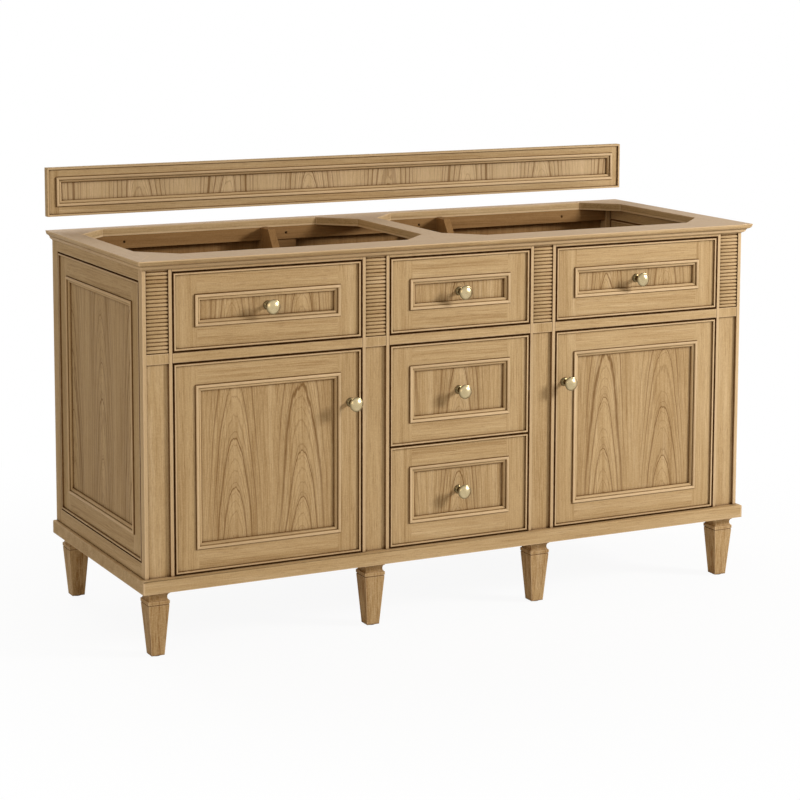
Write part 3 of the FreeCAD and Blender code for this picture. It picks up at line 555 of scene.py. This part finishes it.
# ------------------------------------------------------------ which piece gets what
def material_for(node):
    """The material of each piece, by its name."""
    if node.endswith("_knob"):
        return knob_metal(node)
    if node == "pivot_pins":
        return bronze
    if node == "slide_channels" or node.endswith("_runners"):
        return zinc
    if node in ("leg_glides", "door_catches"):
        return dark_plastic
    if node.endswith("_tray"):
        return pale_plastic
    if node.endswith("_box"):
        return board_wood(node + "_wood", "y", BOX, glaze=0.0, edges=0.2)
    inner = {"bottom_board": "x", "slide_spacers": "y", "back_frame": "x", "back_panel": "z",
             "partition_left": "z", "partition_right": "z"}
    if node in inner:
        return board_wood(node + "_wood", inner[node], INNER,
                          glaze=0.0, edges=0.0, rough=0.65)
    if node in ("top_rail_front", "top_rail_rear", "top_gussets"):
        return top_wood(node + "_wood", node, "x")
    if node in ("top_rails_side", "top_rail_center"):
        return top_wood(node + "_wood", node, "y")
    if node.startswith("side_") and node.endswith("_frame"):
        return frame_wood(node + "_wood", node, SIDE_EDGE, "y", SIDE_SHOULDER)
    if node.startswith("side_") and node.endswith("_panel"):
        return panel_wood(node + "_wood", node, "y", SIDE_REPEAT, 0.5)
    if node == "backsplash_frame":
        return frame_wood(node + "_wood", node, SPLASH_EDGE, "x", gap=0.0)
    if node == "backsplash_panel":
        return panel_wood(node + "_wood", node, "x", SPLASH_REPEAT, colours=(OAK_MID, OAK_LIGHT, PALE_OAK_AND_HIGHLIGHT))
    if node.endswith("_frame"):
        return frame_wood(node + "_wood", node, FRONT_EDGE, "x")
    if node.endswith("_panel"):
        phase = 0.5 if node.startswith("drawer_") else 0.0
        return panel_wood(node + "_wood", node, "x", DOOR_REPEAT, phase)
    if node in ("corner_posts", "center_posts"):
        return post_wood(node + "_wood", node)
    if node == "reeded_blocks":
        return board_wood(node + "_wood", "x", corners=REED_CORNERS)
    if node == "front_rails":
        return rail_wood(node + "_wood", node)
    if node.endswith("legs"):
        return board_wood(node + "_wood", "z", (LEG_DARK, LEG_MID, OAK_LIGHT), corners=LEG_CORNERS)
    grain = {"base_rails": "x", "side_rails": "y"}
    return board_wood(node + "_wood", grain.get(node, "z"))


bronze = dark_bronze()
zinc = zinc_steel()
dark_plastic = plastic("grey_plastic", *GREY_PLASTIC)
pale_plastic = plastic("white_plastic", *WHITE_PLASTIC)

for name, obj in nodes.items():
    obj.data.materials.clear()
    obj.data.materials.append(material_for(name))
    weld = obj.modifiers.new("weld", "WELD")
    weld.merge_threshold = WELD_REACH
    if not name.endswith("_knob"):
        bevel = obj.modifiers.new("edges", "BEVEL")
        bevel.width = JOINT_ROUND if name.endswith("_frame") else EDGE_ROUND
        bevel.segments = 2
        bevel.limit_method = "ANGLE"
        bevel.angle_limit = SHARP
        bevel.harden_normals = True


# ------------------------------------------------------------ studio
def floor():
    """A pale floor that keeps the object's shadow near it and is white further off."""
    mesh = bpy.data.meshes.new("floor")
    corners = [(x * FLOOR_HALF, y * FLOOR_HALF, 0) for x, y in ((-1, -1), (1, -1), (1, 1), (-1, 1))]
    mesh.from_pydata(corners, [], [(0, 1, 2, 3)])
    obj = bpy.data.objects.new("floor", mesh)
    bpy.context.scene.collection.objects.link(obj)
    sh = Shader("floor")
    sh.bsdf.inputs["Base Color"].default_value = (*FLOOR_GREY, 1)
    sh.bsdf.inputs["Roughness"].default_value = 0.9
    path = sh.new("LightPath")
    seen = sh.math("MAXIMUM", path.outputs["Is Camera Ray"],
                   sh.math("MAXIMUM", path.outputs["Is Glossy Ray"], path.outputs["Is Transmission Ray"]))
    x, y, z = sh.place()
    away = sh.hypotenuse(x, y)
    white = sh.new("Emission")
    white.inputs["Strength"].default_value = 1.0
    blend = sh.new("MixShader")
    veil = sh.ramp(away, SHADOW_END, WHITE_START, SHADOW_VEIL, 1.0)
    sh.feed(blend.inputs[0], sh.math("MULTIPLY", seen, veil))
    sh.feed(blend.inputs[1], sh.bsdf.outputs[0])
    sh.feed(blend.inputs[2], white.outputs[0])
    sh.feed(sh.tree.nodes["Material Output"].inputs["Surface"], blend.outputs[0])
    mesh.materials.append(sh.mat)


def world():
    """Soft, slightly warm light all round, seen as white."""
    scene_world = bpy.data.worlds.new("studio")
    bpy.context.scene.world = scene_world
    scene_world.use_nodes = True
    tree = scene_world.node_tree
    background = tree.nodes["Background"]
    path = tree.nodes.new("ShaderNodeLightPath")
    most = tree.nodes.new("ShaderNodeMath")
    most.operation = "MAXIMUM"
    tree.links.new(path.outputs["Is Camera Ray"], most.inputs[0])
    tree.links.new(path.outputs["Is Transmission Ray"], most.inputs[1])
    seen = tree.nodes.new("ShaderNodeMath")
    seen.operation = "MAXIMUM"
    tree.links.new(most.outputs[0], seen.inputs[0])
    tree.links.new(path.outputs["Is Glossy Ray"], seen.inputs[1])
    strength = tree.nodes.new("ShaderNodeMapRange")
    tree.links.new(seen.outputs[0], strength.inputs[0])
    strength.inputs[3].default_value = WORLD_LIGHT
    strength.inputs[4].default_value = 1.0
    tint = tree.nodes.new("ShaderNodeMix")
    tint.data_type = "RGBA"
    tree.links.new(seen.outputs[0], tint.inputs[0])
    tint.inputs[6].default_value = (*WORLD_TINT, 1)
    tint.inputs[7].default_value = (*WHITE, 1)
    tree.links.new(tint.outputs[2], background.inputs[0])
    tree.links.new(strength.outputs[0], background.inputs[1])


def lamp(name, place, power, size, colour):
    """A square lamp that faces the cabinet."""
    data = bpy.data.lights.new(name, "AREA")
    data.color = colour
    data.energy = power
    data.size = size
    obj = bpy.data.objects.new(name, data)
    obj.location = place
    obj.rotation_euler = (Vector(AIM) - Vector(place)).to_track_quat("-Z", "Y").to_euler()
    bpy.context.scene.collection.objects.link(obj)


def camera():
    """The photograph's view: from the left, a little above the cabinet."""
    data = bpy.data.cameras.new("camera")
    data.sensor_width = 36.0
    data.lens = LENS
    data.shift_y = SHIFT_Y
    data.clip_end = 100.0
    obj = bpy.data.objects.new("camera", data)
    obj.location = CAMERA_PLACE
    obj.rotation_euler = Euler([math.radians(turn) for turn in CAMERA_TURN], "XYZ")
    bpy.context.scene.collection.objects.link(obj)
    bpy.context.scene.camera = obj


floor()
world()
for settings in LAMPS:
    lamp(*settings)
camera()
bpy.context.scene.view_settings.view_transform = "Standard"
